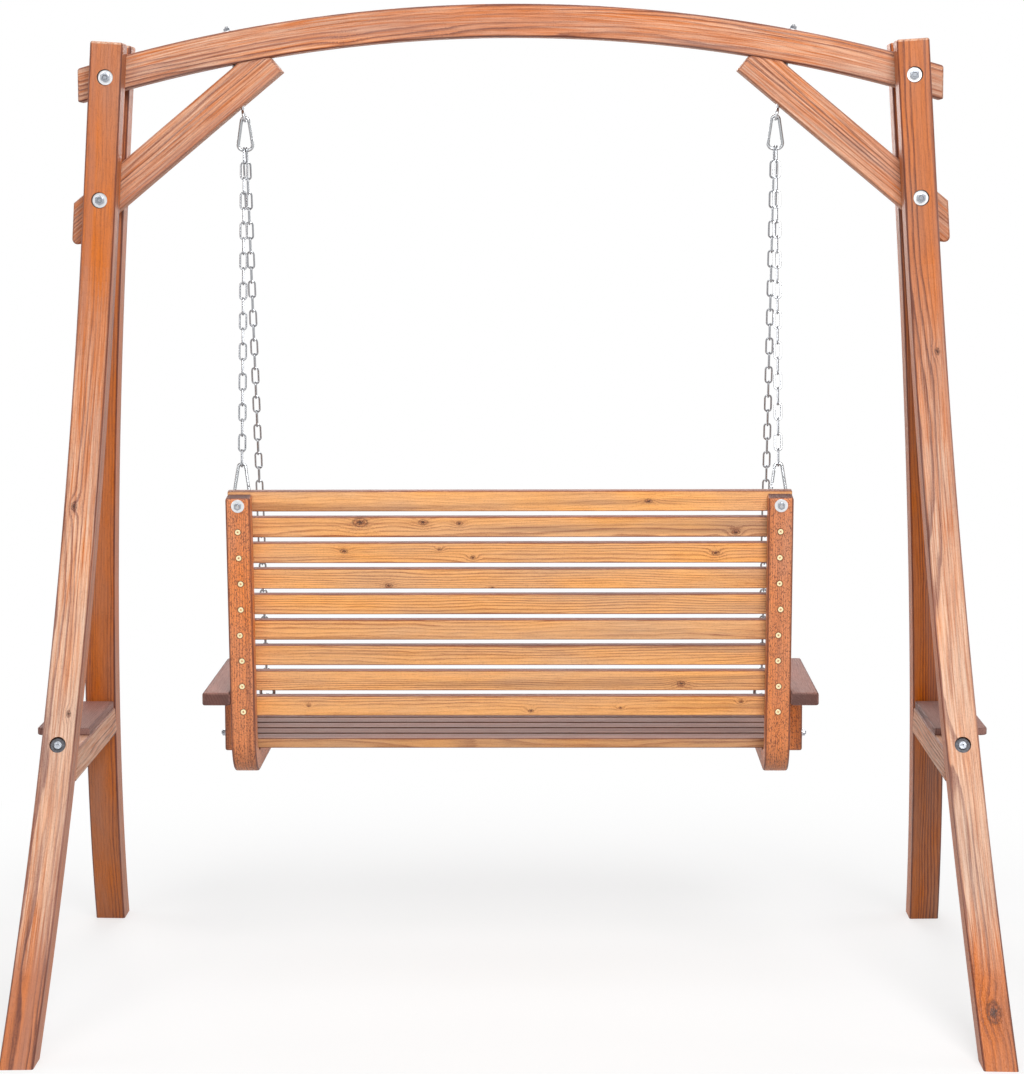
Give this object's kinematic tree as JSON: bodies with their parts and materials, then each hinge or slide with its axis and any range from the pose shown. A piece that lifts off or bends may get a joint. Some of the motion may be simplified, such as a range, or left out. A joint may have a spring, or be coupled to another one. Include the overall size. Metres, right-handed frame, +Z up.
{
  "type": "swing bench",
  "caption": "Slatted wooden bench that swings on chains under an arched stand with bent legs, knee braces and side shelves.",
  "frame": {"origin": "on the ground, below the middle of the arch and half way between the front and rear feet", "axes": "+Z up, +X along the bench to the sitter's left, -Y the way that a sitter faces"},
  "size_m": [1.923, 1.2628, 1.9998],
  "materials": {
    "stand_timber": "satin",
    "bench_frame_timber": "satin",
    "slat_timber": "satin",
    "dark_timber": "satin",
    "zinc_hardware": "satin",
    "hook_steel": "gloss",
    "chain_steel": "gloss"
  },
  "bodies": {
    "stand": {"arch_beam": "stand_timber", "leg_rear_left": "stand_timber", "leg_front_left": "stand_timber", "leg_rear_right": "stand_timber", "leg_front_right": "stand_timber", "knee_brace_left": "stand_timber", "knee_brace_right": "stand_timber", "side_rail_left": "stand_timber", "side_rail_right": "stand_timber", "side_shelf_left": "dark_timber", "side_shelf_right": "dark_timber", "stand_bolts": "zinc_hardware", "stand_washers": "zinc_hardware", "stand_nuts": "zinc_hardware", "rail_bolts": "zinc_hardware", "barrel_nuts": "zinc_hardware", "hanger_eye_bolts": "zinc_hardware"},
    "bench": {"side_frame_left": "bench_frame_timber", "side_frame_right": "bench_frame_timber", "back_slat_1": "slat_timber", "back_slat_2": "slat_timber", "back_slat_3": "slat_timber", "back_slat_4": "slat_timber", "back_slat_5": "slat_timber", "back_slat_6": "slat_timber", "back_slat_7": "slat_timber", "back_slat_8": "slat_timber", "back_slat_9": "slat_timber", "seat_slat_1": "slat_timber", "seat_slat_2": "slat_timber", "seat_slat_3": "slat_timber", "seat_slat_4": "slat_timber", "seat_slat_5": "slat_timber", "seat_slat_6": "slat_timber", "seat_slat_7": "slat_timber", "armrest_left": "dark_timber", "armrest_right": "dark_timber", "arm_support_left": "dark_timber", "arm_support_right": "dark_timber", "bench_eye_bolts": "zinc_hardware", "arm_bolts": "zinc_hardware", "bench_nuts": "zinc_hardware", "bench_washers": "zinc_hardware"},
    "hanger_left": {"hanger_hook_left": "hook_steel"},
    "chains_left": {"chain_rear_left": "chain_steel", "chain_front_left": "chain_steel", "rear_hook_left": "hook_steel", "front_hook_left": "hook_steel"},
    "hanger_gate_left": {"hanger_gate_left": "hook_steel"},
    "rear_gate_left": {"rear_gate_left": "hook_steel"},
    "front_gate_left": {"front_gate_left": "hook_steel"},
    "hanger_right": {"hanger_hook_right": "hook_steel"},
    "chains_right": {"chain_rear_right": "chain_steel", "chain_front_right": "chain_steel", "rear_hook_right": "hook_steel", "front_hook_right": "hook_steel"},
    "hanger_gate_right": {"hanger_gate_right": "hook_steel"},
    "rear_gate_right": {"rear_gate_right": "hook_steel"},
    "front_gate_right": {"front_gate_right": "hook_steel"}
  },
  "joints": [
    {"name": "swing", "type": "hinge", "parent": "stand", "child": "hanger_left", "pos_m": [-0.532, 0, 1.77786], "axis": [1, 0, 0], "range_deg": [-25, 25]},
    {"name": "sway", "type": "hinge", "parent": "hanger_left", "child": "chains_left", "pos_m": [-0.532, 0, 1.71286], "axis": [0, 0.694, 0.72], "range_deg": [-8, 8]},
    {"name": "bench_level", "type": "hinge", "parent": "chains_left", "child": "bench", "pos_m": [-0.532, 0.15505, 1.02906], "axis": [0, 0.694, 0.72], "range_deg": [-8, 8]},
    {"name": "chains_right_sway", "type": "hinge", "parent": "bench", "child": "chains_right", "pos_m": [0.532, 0.15505, 1.02906], "axis": [0, 0.694, 0.72], "range_deg": [-8, 8]},
    {"name": "hanger_right_level", "type": "hinge", "parent": "chains_right", "child": "hanger_right", "pos_m": [0.532, 0, 1.71286], "axis": [0, 0.694, 0.72], "range_deg": [-8, 8]},
    {"name": "hanger_gate_left_open", "type": "hinge", "parent": "hanger_left", "child": "hanger_gate_left", "pos_m": [-0.5191, 0, 1.7348], "axis": [0, -1, 0], "range_deg": [0, 12], "stiffness_Nm_per_rad": 0.05, "springref_deg": -11.46},
    {"name": "hanger_gate_right_open", "type": "hinge", "parent": "hanger_right", "child": "hanger_gate_right", "pos_m": [0.5191, 0, 1.7348], "axis": [0, 1, 0], "range_deg": [0, 12], "stiffness_Nm_per_rad": 0.05, "springref_deg": -11.46},
    {"name": "rear_gate_left_open", "type": "hinge", "parent": "chains_left", "child": "rear_gate_left", "pos_m": [-0.51919, 0.15019, 1.05051], "axis": [0.0004, -0.9752, -0.2211], "range_deg": [0, 12], "stiffness_Nm_per_rad": 0.05, "springref_deg": -11.46},
    {"name": "rear_gate_right_open", "type": "hinge", "parent": "chains_right", "child": "rear_gate_right", "pos_m": [0.51919, 0.15019, 1.05051], "axis": [0.0004, 0.9752, 0.2211], "range_deg": [0, 12], "stiffness_Nm_per_rad": 0.05, "springref_deg": -11.46},
    {"name": "front_gate_left_open", "type": "hinge", "parent": "chains_left", "child": "front_gate_left", "pos_m": [-0.51904, -0.30242, 0.56986], "axis": [0.0003, -0.9667, 0.2558], "range_deg": [0, 12], "stiffness_Nm_per_rad": 0.05, "springref_deg": -11.46},
    {"name": "front_gate_right_open", "type": "hinge", "parent": "chains_right", "child": "front_gate_right", "pos_m": [0.51904, -0.30242, 0.56986], "axis": [0.0003, 0.9667, -0.2558], "range_deg": [0, 12], "stiffness_Nm_per_rad": 0.05, "springref_deg": -11.46}
  ],
  "couplings": [
    {"joint": "bench_level", "follows": "sway", "ratio": -1},
    {"joint": "chains_right_sway", "follows": "sway", "ratio": 1},
    {"joint": "hanger_right_level", "follows": "sway", "ratio": -1}
  ]
}
